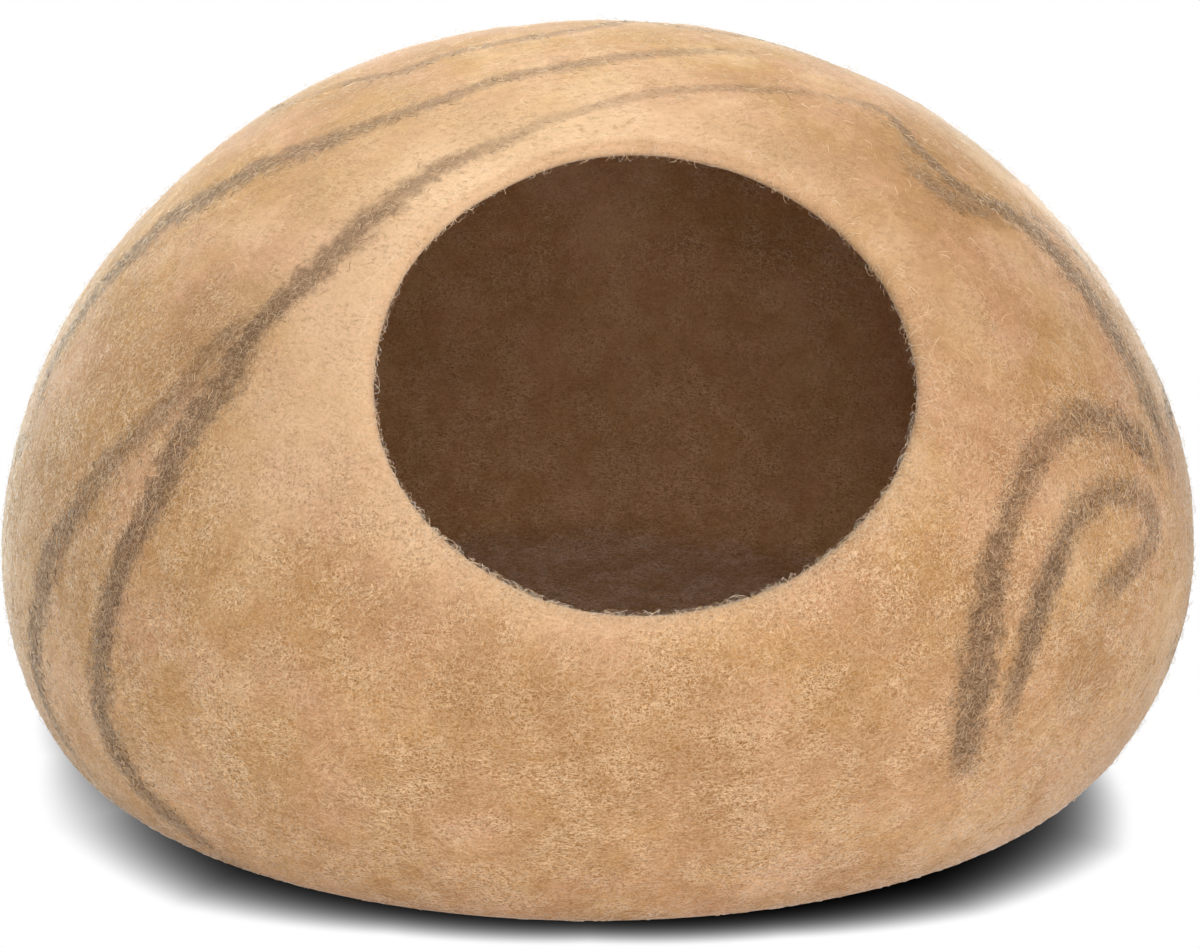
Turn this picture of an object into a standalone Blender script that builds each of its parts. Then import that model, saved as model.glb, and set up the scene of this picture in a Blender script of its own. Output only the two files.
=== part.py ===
"""Felt pet cave: one seamless shell of felted wool, hollow, with a round mouth
high on its front and a flat base that it stands on.

+Z is up, the mouth faces -Y, and the origin lies under the middle of the shell,
on the plane that it stands on. Sizes are in metres and angles in degrees.
"""
import math

import bmesh
import bpy
import numpy as np

# The outer form: a domed crown over a rounded skirt, both superellipses.
WIDTH = 0.500               # side to side, at the waist
DEPTH = 0.456               # front to back, at the waist
HEIGHT = 0.296
WAIST_HEIGHT = 0.077        # the height at which the form is widest
CROWN_ACROSS = 2.05         # superellipse powers: 2 is an ellipse, more is squarer
CROWN_UP = 1.87
SKIRT_ACROSS = 1.75
SKIRT_UP = 1.74
BASE_SHARE = 0.85           # how much of the waist's width lies flat on the floor

# How the hand-shaped form departs from an even one.
WAIST_CLIMB_RIGHT = 0.0065  # the widest line climbs towards the right
WAIST_DROP_BACK = 0.0055    # and drops towards the back
BASE_SHARE_RIGHT = -0.035   # the base tucks in more on the right
CROWN_LEAN = 0.003          # the top sits this far to the right
PLAN_SKEW = -0.008          # plan outline: twice, three and four times round
PLAN_THREE = 0.002
PLAN_FOUR = -0.003
DENT_DEPTH = 0.0012         # soft dents and swells all over, but for the base
DENT_FADE_HEIGHT = 0.060

# The mouth: a round hole cut in one plane.
MOUTH_TILT = 40.7           # the plane's normal above the horizontal
MOUTH_TURN = 3.1            # and its turn from -Y towards +X
MOUTH_DISTANCE = 0.254      # from the base's middle to the plane
CORE = (0.010, -0.013, 0.080)   # a point inside the hollow, on the mouth's axis

FLAT = 1e-6                 # lower than this counts as the flat base
WALL = 0.007                # thickness of the felt
RIM_ROUND = 0.0030          # radius of the mouth's felted edge

SEGMENTS = 64               # round the mouth's axis
RINGS = 36                  # from one pole of that axis to the other
MOUTH_RINGS = 5             # of these, left out where the mouth is
BASE_RINGS = 4              # and laid in the flat base
HALVINGS = 44               # steps of each search along a ray


def unit(vector):
    """A vector of length one."""
    return np.asarray(vector, float) / np.linalg.norm(vector)


def mouth_axes():
    """The mouth plane's right, up and outward directions."""
    tilt = math.radians(MOUTH_TILT)
    turn = math.radians(MOUTH_TURN)
    outward = np.array([math.sin(turn) * math.cos(tilt), -math.cos(turn) * math.cos(tilt), math.sin(tilt)])
    right = unit(np.cross([0.0, 0.0, 1.0], outward))
    return right, np.cross(outward, right), outward


def half_width_share(height, angle):
    """Share of the waist's half width that the form has at a height."""
    waist = WAIST_HEIGHT + WAIST_CLIMB_RIGHT * np.cos(angle) - WAIST_DROP_BACK * np.sin(angle)
    base = BASE_SHARE + BASE_SHARE_RIGHT * np.cos(angle)
    up = np.clip((height - waist) / (HEIGHT - waist), 0.0, 1.0)
    down = np.clip((waist - height) / waist, 0.0, 1.0)
    crown = (1.0 - up ** CROWN_UP) ** (1.0 / CROWN_ACROSS)
    skirt = base + (1.0 - base) * (1.0 - down ** SKIRT_UP) ** (1.0 / SKIRT_ACROSS)
    return np.where(height >= waist, crown, skirt)


def plan_outline(angle):
    """The plan outline's departure from an ellipse, as a factor."""
    skew = PLAN_SKEW * np.sin(2 * angle)
    return 1.0 + skew + PLAN_THREE * np.cos(3 * angle) + PLAN_FOUR * np.sin(4 * angle)


def is_inside(points):
    """Whether each point lies within the even outer form."""
    height = points[:, 2]
    across = (points[:, 0] - CROWN_LEAN * (height / HEIGHT) ** 2) / (WIDTH / 2)
    along = points[:, 1] / (DEPTH / 2)
    angle = np.arctan2(along, across)
    share = np.hypot(across, along) / plan_outline(angle)
    within = (height >= 0.0) & (height <= HEIGHT)
    return within & (share <= half_width_share(np.clip(height, 0.0, HEIGHT), angle))


def reach(directions):
    """Distance from the core to the outer form along each direction, by halving."""
    near = np.zeros(len(directions))
    far = np.full(len(directions), WIDTH)
    for _ in range(HALVINGS):
        middle = (near + far) / 2
        inside = is_inside(np.array(CORE) + directions * middle[:, None])
        near = np.where(inside, middle, near)
        far = np.where(inside, far, middle)
    return near


def dent(points):
    """Depth of the soft dents and swells at each point: slow waves that fade at the base."""
    x, y, z = points.T
    wave = np.sin(13 * x + 9 * z + 0.6) * np.sin(11 * y - 8 * z + 1.9)
    wave += 0.6 * np.sin(21 * x - 17 * y + 0.4) * np.cos(19 * z + 12 * x)
    fade = np.clip(z / DENT_FADE_HEIGHT, 0.0, 1.0)
    return DENT_DEPTH * wave * fade * fade * (3 - 2 * fade)


def outer_points(polar, around):
    """Points of the outer surface, by polar angle from the mouth's axis and angle round it."""
    right, up, outward = mouth_axes()
    ring = np.outer(np.cos(around), right) + np.outer(np.sin(around), up)
    directions = np.cos(polar)[:, None] * outward + np.sin(polar)[:, None] * ring
    points = np.array(CORE) + directions * reach(directions)[:, None]
    return points + directions * dent(points)[:, None]


def last_polar(around, holds):
    """Largest polar angle, for each angle round the axis, up to which the surface's points hold."""
    low = np.zeros(len(around))
    high = np.full(len(around), math.pi)
    for _ in range(HALVINGS):
        middle = (low + high) / 2
        held = holds(outer_points(middle, around))
        low = np.where(held, middle, low)
        high = np.where(held, high, middle)
    return high


def beyond_mouth(points):
    """Whether each point lies outside the mouth's plane."""
    return points @ mouth_axes()[2] > MOUTH_DISTANCE


def above_base(points):
    """Whether each point lies above the flat base."""
    return points[:, 2] > FLAT


def polar_angles(ring, around):
    """Polar angle of each vertex: even steps from mouth to base edge, and from there to the pole."""
    mouth = last_polar(around, beyond_mouth)
    base = last_polar(around, above_base)
    on_wall = (ring - MOUTH_RINGS) / (RINGS - BASE_RINGS - MOUTH_RINGS)
    on_base = (ring - RINGS + BASE_RINGS) / BASE_RINGS
    return np.where(on_wall <= 1.0, mouth + on_wall * (base - mouth), base + on_base * (math.pi - base))


def make_material(name, color, roughness):
    """A plain matte material."""
    material = bpy.data.materials.new(name)
    material.use_nodes = True
    shader = material.node_tree.nodes["Principled BSDF"]
    shader.inputs["Base Color"].default_value = (*color, 1.0)
    shader.inputs["Roughness"].default_value = roughness
    shader.inputs["Metallic"].default_value = 0.0
    return material


def make_shell(name, collection, material):
    """The felted shell: a sphere, open at the mouth, drawn out to the form and thickened inwards."""
    mesh = bpy.data.meshes.new(name)
    bm = bmesh.new()
    bmesh.ops.create_uvsphere(bm, u_segments=SEGMENTS, v_segments=RINGS, radius=1.0)
    cap_height = math.cos((MOUTH_RINGS - 0.5) * math.pi / RINGS)
    cap = [v for v in bm.verts if v.co.z > cap_height]
    bmesh.ops.delete(bm, geom=cap, context="VERTS")

    sphere = np.array([v.co[:] for v in bm.verts])
    around = np.arctan2(sphere[:, 1], sphere[:, 0])
    ring = np.rint(np.arccos(np.clip(sphere[:, 2], -1.0, 1.0)) / math.pi * RINGS)
    points = outer_points(polar_angles(ring, around), around)
    points[:, :2] -= (points[:, :2].min(axis=0) + points[:, :2].max(axis=0)) / 2
    points[:, 2] = np.where(points[:, 2] < FLAT, 0.0, points[:, 2])
    for vertex, point in zip(bm.verts, points):
        vertex.co = point
    bm.to_mesh(mesh)
    bm.free()
    mesh.materials.append(material)
    mesh.shade_smooth()

    shell = bpy.data.objects.new(name, mesh)
    collection.objects.link(shell)
    wall = shell.modifiers.new("Wall", "SOLIDIFY")
    wall.thickness = WALL
    wall.offset = -1.0
    wall.use_even_offset = True
    rim = shell.modifiers.new("Rim", "BEVEL")
    rim.width = RIM_ROUND
    rim.segments = 2
    rim.limit_method = "ANGLE"
    rim.angle_limit = math.radians(55.0)
    return shell


for old in list(bpy.data.objects):
    bpy.data.objects.remove(old, do_unlink=True)

felt_cave = bpy.data.collections.new("felt_cave")
bpy.context.scene.collection.children.link(felt_cave)

felted_wool = make_material("felted_wool", color=(0.56, 0.35, 0.17), roughness=0.95)
make_shell("felt_shell", felt_cave, felted_wool)
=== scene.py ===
"""The looks of a felt pet cave: the wool of its shell, the dark veins felted into it, the loose
fibres that lie on it and stand off it, and the pale studio that it stands in."""
import math

import bpy
import numpy as np
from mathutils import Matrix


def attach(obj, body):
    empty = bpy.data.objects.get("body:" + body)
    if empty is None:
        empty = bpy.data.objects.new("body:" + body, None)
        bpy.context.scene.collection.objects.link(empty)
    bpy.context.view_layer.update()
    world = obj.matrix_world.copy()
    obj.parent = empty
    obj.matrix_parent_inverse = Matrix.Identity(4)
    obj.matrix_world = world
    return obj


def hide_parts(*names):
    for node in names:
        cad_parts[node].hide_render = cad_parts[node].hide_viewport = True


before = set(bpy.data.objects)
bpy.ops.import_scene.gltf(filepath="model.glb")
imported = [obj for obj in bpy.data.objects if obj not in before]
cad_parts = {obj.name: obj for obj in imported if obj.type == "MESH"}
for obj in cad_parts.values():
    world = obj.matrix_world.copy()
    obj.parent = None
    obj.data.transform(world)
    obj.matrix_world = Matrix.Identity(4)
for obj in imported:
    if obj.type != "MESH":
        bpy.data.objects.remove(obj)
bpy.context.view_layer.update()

# The view -----------------------------------------------------------------------------------------
# A long lens on a stand a little above the shell, looking down at it and turned a touch off level.
# It comes first, because the veins are laid where this view shows them.

IMAGE_SIZE = (1200, 948)            # pixels
VIEW_ELEVATION = math.radians(20.0)
VIEW_ROLL = math.radians(1.31)
VIEW_DISTANCE = 1.40
VIEW_TARGET = (0.0014, 0.0, 0.1078)
FOCAL_PIXELS = 3327.0
SENSOR_WIDTH = 36.0                 # millimetres


def view_axes():
    """The view's right, up and backward directions: level ones, turned about the line of sight."""
    back = np.array([0.0, -math.cos(VIEW_ELEVATION), math.sin(VIEW_ELEVATION)])
    level_right = np.array([1.0, 0.0, 0.0])
    level_up = np.array([0.0, math.sin(VIEW_ELEVATION), math.cos(VIEW_ELEVATION)])
    right = math.cos(VIEW_ROLL) * level_right + math.sin(VIEW_ROLL) * level_up
    up = math.cos(VIEW_ROLL) * level_up - math.sin(VIEW_ROLL) * level_right
    return right, up, back


def put_in_scene(holder, right, up, back, place):
    """Links a camera or a light to the scene, at a place and turned to its right, up and backward
    directions."""
    matrix = np.eye(4)
    matrix[:3] = np.stack([right, up, back, place], axis=-1)
    holder.matrix_world = matrix.T.tolist()
    bpy.context.scene.collection.objects.link(holder)


view_right, view_up, view_back = view_axes()
view_place = np.array(VIEW_TARGET) + view_back * VIEW_DISTANCE

camera = bpy.data.objects.new("camera", bpy.data.cameras.new("camera"))
camera.data.sensor_width = SENSOR_WIDTH
camera.data.lens = FOCAL_PIXELS / IMAGE_SIZE[0] * SENSOR_WIDTH
camera.data.clip_start = 0.05
camera.data.clip_end = 60.0
put_in_scene(camera, view_right, view_up, view_back, view_place)
bpy.context.scene.camera = camera

# The felt shell -----------------------------------------------------------------------------------
# One seamless vessel of wet-felted wool: tan wool laid round a flat resist, rubbed until it shrank,
# stretched to a dome over its flat base, and opened by a round mouth whose edge was rubbed smooth.

WIDTH = 0.500                       # the form's driving sizes, as in the solid
DEPTH = 0.456
HEIGHT = 0.296
WAIST_HEIGHT = 0.077
CROWN_ACROSS, CROWN_UP = 2.05, 1.87 # exponents of the superellipses above and below the waist
SKIRT_ACROSS, SKIRT_UP = 1.75, 1.74
BASE_SHARE = 0.85                   # of the waist's half width
WAIST_CLIMB_RIGHT = 0.0065
WAIST_DROP_BACK = 0.0055
BASE_SHARE_RIGHT = -0.035
CROWN_LEAN = 0.003
PLAN_SKEW, PLAN_THREE, PLAN_FOUR = -0.008, 0.002, -0.003
DENT_DEPTH = 0.0012
DENT_FADE_HEIGHT = 0.060
MOUTH_TILT = math.radians(40.7)
MOUTH_TURN = math.radians(3.1)
MOUTH_DISTANCE = 0.254
CORE = np.array([0.010, -0.013, 0.080])
FLAT = 1e-6                         # a height that counts as none
WALL = 0.007
HALVINGS = 40

COLUMNS = 360                       # the mesh: steps round the mouth's axis
BASE_ROWS = 14                      # and rows from the base's middle to the mouth
WALL_ROWS = 150
RIM_ROWS = 9
INNER_STRIDE = 2                    # the inner side has every second row
MOUTH_RADIUS = 0.110                # about, to turn lengths along the wall into angles from the core
LUMPS = ((0.045, 0.00050), (0.018, 0.00030), (0.009, 0.00016))   # cell and height of the felt's lumps
LUMP_SEED = 40
LUMPS_FROM, LUMPS_GROW = 0.001, 0.02    # none below this height, and they grow in over this much
RIM_WAVE = 0.0005                   # how far the mouth's edge wanders
LATTICE, LATTICE_SHIFT = 32, 1000.0     # noise repeats after so many cells, and starts so many off
NO_LENGTH = 1e-12


def half_width_share(height, angle):
    """Share of the waist's half width at a height: superellipses above and below the waist."""
    waist = WAIST_HEIGHT + WAIST_CLIMB_RIGHT * np.cos(angle) - WAIST_DROP_BACK * np.sin(angle)
    base = BASE_SHARE + BASE_SHARE_RIGHT * np.cos(angle)
    up = np.clip((height - waist) / (HEIGHT - waist), 0.0, 1.0)
    down = np.clip((waist - height) / waist, 0.0, 1.0)
    crown = (1.0 - up ** CROWN_UP) ** (1.0 / CROWN_ACROSS)
    skirt = base + (1.0 - base) * (1.0 - down ** SKIRT_UP) ** (1.0 / SKIRT_ACROSS)
    return np.where(height >= waist, crown, skirt)


def is_inside(points):
    """Whether each point is within the even form: its share of the plan outline is compared with the
    half width that the form has at its height."""
    height = points[:, 2]
    across = (points[:, 0] - CROWN_LEAN * (height / HEIGHT) ** 2) / (WIDTH / 2)
    along = points[:, 1] / (DEPTH / 2)
    angle = np.arctan2(along, across)
    outline = 1.0 + PLAN_SKEW * np.sin(2 * angle) + PLAN_THREE * np.cos(3 * angle)
    share = np.hypot(across, along) / (outline + PLAN_FOUR * np.sin(4 * angle))
    within = (height >= 0.0) & (height <= HEIGHT)
    return within & (share <= half_width_share(np.clip(height, 0.0, HEIGHT), angle))


def halve(low, high, keeps_low):
    """The place between low and high where keeps_low turns from true to false, by halving."""
    for _ in range(HALVINGS):
        middle = (low + high) / 2
        keeps = keeps_low(middle)
        low = np.where(keeps, middle, low)
        high = np.where(keeps, high, middle)
    return (low + high) / 2


def dent(points):
    """Depth of the broad dents: a few slow waves in x, y and z that fade out at the base."""
    x, y, z = points.T
    wave = np.sin(13 * x + 9 * z + 0.6) * np.sin(11 * y - 8 * z + 1.9)
    wave += 0.6 * np.sin(21 * x - 17 * y + 0.4) * np.cos(19 * z + 12 * x)
    fade = np.clip(z / DENT_FADE_HEIGHT, 0.0, 1.0)
    return DENT_DEPTH * wave * fade * fade * (3 - 2 * fade)


mouth_out = np.array([
    math.sin(MOUTH_TURN) * math.cos(MOUTH_TILT),
    -math.cos(MOUTH_TURN) * math.cos(MOUTH_TILT),
    math.sin(MOUTH_TILT),
])
mouth_right = np.cross([0.0, 0.0, 1.0], mouth_out)
mouth_right /= np.linalg.norm(mouth_right)
mouth_up = np.cross(mouth_out, mouth_right)


def outer_points(polar, around):
    """Points of the outer side, by polar angle from the mouth's axis and angle round it: the reach
    from the core to the even form is found by halving, and the dents are added to it."""
    ring = np.outer(np.cos(around), mouth_right) + np.outer(np.sin(around), mouth_up)
    directions = np.cos(polar)[:, None] * mouth_out + np.sin(polar)[:, None] * ring
    reach = halve(
        np.zeros(len(polar)), np.full(len(polar), WIDTH),
        lambda distance: is_inside(CORE + directions * distance[:, None]),
    )
    points = CORE + directions * reach[:, None]
    return points + directions * dent(points)[:, None]


def unit_rows(vectors):
    """Vectors scaled to length one."""
    return vectors / np.maximum(np.linalg.norm(vectors, axis=-1, keepdims=True), NO_LENGTH)


def value_noise(points, cell, seed):
    """Smooth noise from -1 to 1: seeded values on a lattice of cubes, blended between its corners
    by a smooth step along each axis."""
    lattice = np.random.default_rng(seed).uniform(-1.0, 1.0, (LATTICE,) * 3)
    place = points / cell + LATTICE_SHIFT
    corner = np.floor(place).astype(int)
    share = place - corner
    share = share * share * (3 - 2 * share)
    total = np.zeros(len(points))
    for step in np.ndindex(2, 2, 2):
        weight = np.prod(np.where(np.array(step) == 1, share, 1 - share), axis=1)
        total += weight * lattice[tuple(((corner + step) % LATTICE).T)]
    return total


def grid_normals(grid):
    """Outward unit normals of a grid of rows and columns, from the cross product of its central
    differences along the columns and along the rows."""
    along = np.gradient(grid, axis=0)
    around = np.roll(grid, -1, axis=1) - np.roll(grid, 1, axis=1)
    return unit_rows(np.cross(around, along))


columns = np.arange(COLUMNS) / COLUMNS * 2 * math.pi
edge_wave = RIM_WAVE * (np.sin(3 * columns + 0.5) + 0.6 * np.sin(7 * columns + 2.1))
mouth_polar = halve(
    np.zeros(COLUMNS), np.full(COLUMNS, math.pi),
    lambda polar: outer_points(polar, columns) @ mouth_out > MOUTH_DISTANCE,
)
rim_polar = mouth_polar + (WALL / 2 + edge_wave) / (2 * MOUTH_RADIUS)
base_polar = halve(
    np.zeros(COLUMNS), np.full(COLUMNS, math.pi),
    lambda polar: outer_points(polar, columns)[:, 2] > FLAT,
)
base_steps = np.linspace(0.0, 1.0, BASE_ROWS, endpoint=False)[1:, None]
wall_steps = np.linspace(0.0, 1.0, WALL_ROWS)[:, None]
polar_rows = np.vstack([
    math.pi + base_steps * (base_polar - math.pi),
    base_polar + wall_steps * (rim_polar - base_polar),
])
around_rows = np.tile(columns, (len(polar_rows), 1))
even_outer = outer_points(polar_rows.ravel(), around_rows.ravel()).reshape(*polar_rows.shape, 3)
centring = (even_outer.min(axis=(0, 1)) + even_outer.max(axis=(0, 1))) / 2
centring[2] = 0.0


def felt_lumps(points):
    """Height of the felt's own small lumps: three sizes of smooth noise, none of it at the base."""
    total = np.zeros(len(points))
    for number, (cell, height) in enumerate(LUMPS):
        total += height * value_noise(points, cell, LUMP_SEED + number)
    return total * np.clip((points[:, 2] - LUMPS_FROM) / LUMPS_GROW, 0.0, 1.0)


outer_normals = grid_normals(even_outer)
lumps = felt_lumps(even_outer.reshape(-1, 3)).reshape(polar_rows.shape)
outer = even_outer + outer_normals * lumps[:, :, None]
outer[:, :, 2] = np.where(even_outer[:, :, 2] < 2 * FLAT, 0.0, np.maximum(outer[:, :, 2], 0.0))
outer -= centring

# The rim is a half circle of felt from the outer side to the inner one.
rim_out = outer_normals[-1]
rim_along = outer[-1] - outer[-4]
rim_along = unit_rows(rim_along - rim_out * np.sum(rim_along * rim_out, axis=1, keepdims=True))
rim_turn = (np.arange(1, RIM_ROWS + 1) / (RIM_ROWS + 1) * math.pi)[:, None, None]
rim_round = (np.cos(rim_turn) * rim_out + np.sin(rim_turn) * rim_along) * WALL / 2
rim = (outer[-1] - rim_out * WALL / 2) + rim_round

# The inner side lies a wall's thickness inside the outer one.
inner_from = (even_outer - centring)[::-INNER_STRIDE]
inner = inner_from - outer_normals[::-INNER_STRIDE] * WALL
elsewhere = inner.reshape(-1, 3) * 1.1 + 0.3            # so that the two sides' lumps differ
inner_lumps = felt_lumps(elsewhere).reshape(inner.shape[:2])
inner += outer_normals[::-INNER_STRIDE] * inner_lumps[:, :, None]

rows = np.concatenate([outer, rim, inner])
row_gaps = np.linalg.norm(np.diff(rows, axis=0), axis=2).mean(axis=1)
row_places = np.concatenate([[0.0], row_gaps.cumsum()])
rim_start = len(outer) - 1
rim_end = len(outer) + RIM_ROWS
outer_pole = np.append(outer[0].mean(axis=0)[:2], 0.0)
inner_pole = inner[-1].mean(axis=0)
shell_points = np.vstack([rows.reshape(-1, 3), outer_pole, inner_pole])


def closed_grid_faces(row_count, column_count):
    """Quads between neighbouring rows and columns, the columns closed in a ring, and the two fans
    of triangles to the poles, which are the last two points."""
    index = np.arange(row_count * column_count).reshape(row_count, column_count)
    right = np.roll(index, -1, axis=1)
    quads = np.stack([index[:-1], right[:-1], right[1:], index[1:]], axis=-1).reshape(-1, 4)
    first_pole = row_count * column_count
    first_fan = np.stack([right[0], index[0], np.full(column_count, first_pole)], axis=-1)
    last_fan = np.stack([index[-1], right[-1], np.full(column_count, first_pole + 1)], axis=-1)
    return quads, np.vstack([first_fan, last_fan])


def mesh_from(name, points, quads, triangles):
    """A smooth-shaded mesh from arrays of points, four-cornered and three-cornered faces."""
    mesh = bpy.data.meshes.new(name)
    corners = np.concatenate([quads.ravel(), triangles.ravel()])
    sizes = np.concatenate([np.full(len(quads), 4), np.full(len(triangles), 3)])
    mesh.vertices.add(len(points))
    mesh.vertices.foreach_set("co", points.astype(np.float32).ravel())
    mesh.loops.add(len(corners))
    mesh.loops.foreach_set("vertex_index", corners.astype(np.int32))
    mesh.polygons.add(len(sizes))
    mesh.polygons.foreach_set("loop_start", (np.cumsum(sizes) - sizes).astype(np.int32))
    mesh.update(calc_edges=True)
    mesh.validate()
    mesh.shade_smooth()
    return mesh


def add_values(mesh, name, values):
    """A named number, or vector of three, for each of a mesh's points."""
    if values.ndim == 1:
        mesh.attributes.new(name, "FLOAT", "POINT").data.foreach_set("value", values.astype(np.float32))
    else:
        layer = mesh.attributes.new(name, "FLOAT_VECTOR", "POINT")
        layer.data.foreach_set("vector", values.astype(np.float32).ravel())


shell_mesh = mesh_from("felt_wool_shell", shell_points, *closed_grid_faces(len(rows), COLUMNS))

# The veins: thin ropes of unspun grey-brown wool, laid on the tan wool before it was felted. Each
# has a layer (two that touch lie in different layers), the length over which its ends fade, in
# metres, its half widths in millimetres and its strengths, both at even steps along it, and its
# route: here in the view's pixels, and below, for the veins that go on round the back, by bearing
# from +X in degrees and height in metres.
SEEN_VEINS = {
    "thread": (0, 0.03, (3.6, 4.2, 4.6, 4.2), (0.42, 0.48, 0.54, 0.46), (
        (830, 62), (760, 42), (690, 30), (640, 22), (600, 26), (536, 36), (459, 50), (402, 70),
        (344, 84), (290, 104))),
    "high": (0, 0.04, (4.6, 4.6, 4.6, 6.2, 8.6, 8.0, 7.0), (0.50, 0.52, 0.62, 0.72, 0.88, 0.90, 0.45), (
        (790, 62), (720, 54), (640, 56), (600, 61), (548, 69), (497, 78), (440, 99), (383, 119),
        (325, 143), (268, 164), (215, 193), (172, 216), (142, 243), (115, 270), (88, 303), (57, 354),
        (40, 395), (29, 440))),
    "main": (0, 0.04, (3.6, 3.6, 3.4, 3.4, 5.4, 7.6, 6.4, 8.6, 6.4, 6.6, 8.2, 5.6, 4.0),
     (0.45, 0.45, 0.40, 0.38, 0.70, 0.82, 0.90, 0.82, 0.86, 0.90, 0.96, 0.76, 0.60), (
        (860, 104), (780, 92), (700, 90), (640, 97), (606, 105), (574, 112), (535, 125), (497, 142),
        (440, 165), (402, 191), (362, 223), (322, 261), (285, 296), (249, 334), (227, 379), (196, 416),
        (171, 464), (146, 517), (122, 563), (105, 616), (98, 658), (101, 711), (117, 753), (145, 792),
        (184, 826), (214, 852), (250, 872))),
    "left": (1, 0.03, (6.2, 5.6, 7.4, 7.2, 8.5, 5.8, 4.2), (0.70, 0.62, 0.56, 0.74, 0.80, 0.90, 0.90), (
        (290, 286), (252, 318), (212, 350), (180, 391), (140, 432), (101, 473), (72, 516), (48, 562),
        (36, 616), (34, 665), (46, 707), (68, 746), (96, 782))),
    "right": (1, 0.04, (3.4, 3.4, 4.6, 8.2, 8.8, 8.8, 7.8), (0.60, 0.68, 0.80, 0.80, 0.78, 0.78, 0.82), (
        (800, 92), (880, 112), (915, 148), (938, 170), (963, 191), (986, 203), (1011, 216), (1036, 234),
        (1058, 256), (1081, 285), (1108, 324), (1136, 373), (1155, 419), (1168, 462), (1177, 510))),
    "right_strand": (0, 0.02, (3.2,), (0.42,), (
        (1006, 206), (1038, 220), (1066, 242), (1090, 268), (1112, 298))),
    "right_root": (0, 0.016, (6.0,), (0.60,), (
        (904, 152), (926, 180), (952, 199), (982, 212), (1012, 226))),
    "arch": (0, 0.016, (6.5, 7.3, 8.8, 9.3, 8.0, 6.6, 6.2, 6.8, 7.3, 7.0, 6.5, 7.0, 6.0),
     (0.85, 0.90, 0.97, 0.94, 0.95, 0.86, 0.74, 0.65, 0.63, 0.68, 0.83, 0.90, 0.60), (
        (959, 786), (966, 752), (973, 704), (980, 655), (987, 600), (997, 550), (1006, 521),
        (1018, 493), (1031, 462), (1047, 440), (1066, 426), (1088, 419), (1109, 424), (1130, 436),
        (1148, 455), (1158, 485))),
    "inner_arch": (1, 0.022, (4.6, 4.8, 5.4, 7.0, 6.6, 7.2, 6.2, 5.8, 6.4, 6.8, 6.4, 6.4, 6.2),
     (0.60, 0.80, 0.92, 1.0, 1.0, 0.84, 0.66, 0.60, 0.58, 0.58, 0.64, 0.76, 0.80), (
        (1002, 748), (1011, 708), (1021, 666), (1032, 627), (1044, 589), (1057, 558), (1069, 528),
        (1085, 505), (1107, 493), (1132, 497), (1149, 509), (1153, 529), (1144, 549), (1127, 569),
        (1106, 591), (1086, 609))),
}
BACK_VEINS = {
    "back_high": (0, 0.03, (3.2, 4.4, 3.4, 4.2), (0.40, 0.50, 0.42), (
        (184, 0.268), (170, 0.256), (150, 0.243), (125, 0.236), (100, 0.236), (75, 0.243), (50, 0.256),
        (28, 0.270))),
    "back_middle": (1, 0.04, (5.0, 7.2, 5.6, 4.4, 6.6, 7.4, 5.0), (0.45, 0.68, 0.84, 0.60, 0.78, 0.74), (
        (196, 0.150), (189, 0.128), (180, 0.113), (165, 0.100), (148, 0.094), (130, 0.095), (110, 0.103),
        (90, 0.117), (70, 0.134), (50, 0.150), (30, 0.160), (10, 0.162), (-6, 0.157), (-20, 0.147))),
    "back_low": (0, 0.05, (4.0, 5.8, 4.6, 6.2, 4.4), (0.50, 0.74, 0.60, 0.70, 0.50), (
        (160, 0.030), (142, 0.046), (120, 0.058), (98, 0.066), (76, 0.068), (56, 0.062), (38, 0.048),
        (22, 0.030))),
    "right_foot": (0, 0.04, (5.0,), (0.60,), (
        (-22, 0.078), (-17, 0.058), (-11, 0.040), (-4, 0.024), (5, 0.010))),
}
MILLIMETRE = 0.001
VEIN_STEP = 0.001                   # spacing of the points that a vein's distance is measured to
VEIN_BAND = 2.4                     # half widths to each side over which a vein is felt in
BAND_FADE = 0.6                     # and over the last of which it fades
ROUTE_STEPS = 40                    # points of the smooth line for each given one
POINTS_AT_ONCE = 4000               # measured together, to save memory
SIGHT_REACH, SIGHT_STEPS = 0.35, 500    # how a line of sight is followed through the form
DRAWN_IN = np.linspace(1.0, 0.95, 11)   # tried in turn for a pixel just off the form


def smooth_route(route):
    """A smooth line through given points: a Catmull-Rom spline, read at even steps."""
    places = np.array(route, float)
    padded = np.vstack([2 * places[0] - places[1], places, 2 * places[-1] - places[-2]])
    steps = np.linspace(0.0, len(places) - 1 - 1e-9, ROUTE_STEPS * len(places))
    number = steps.astype(int)
    share = (steps - number)[:, None]
    before, start, end, after = (padded[number + offset] for offset in range(4))
    return start + 0.5 * share * (
        end - before + share * (2 * before - 5 * start + 4 * end - after
                                + share * (3 * (start - end) + after - before)))


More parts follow.
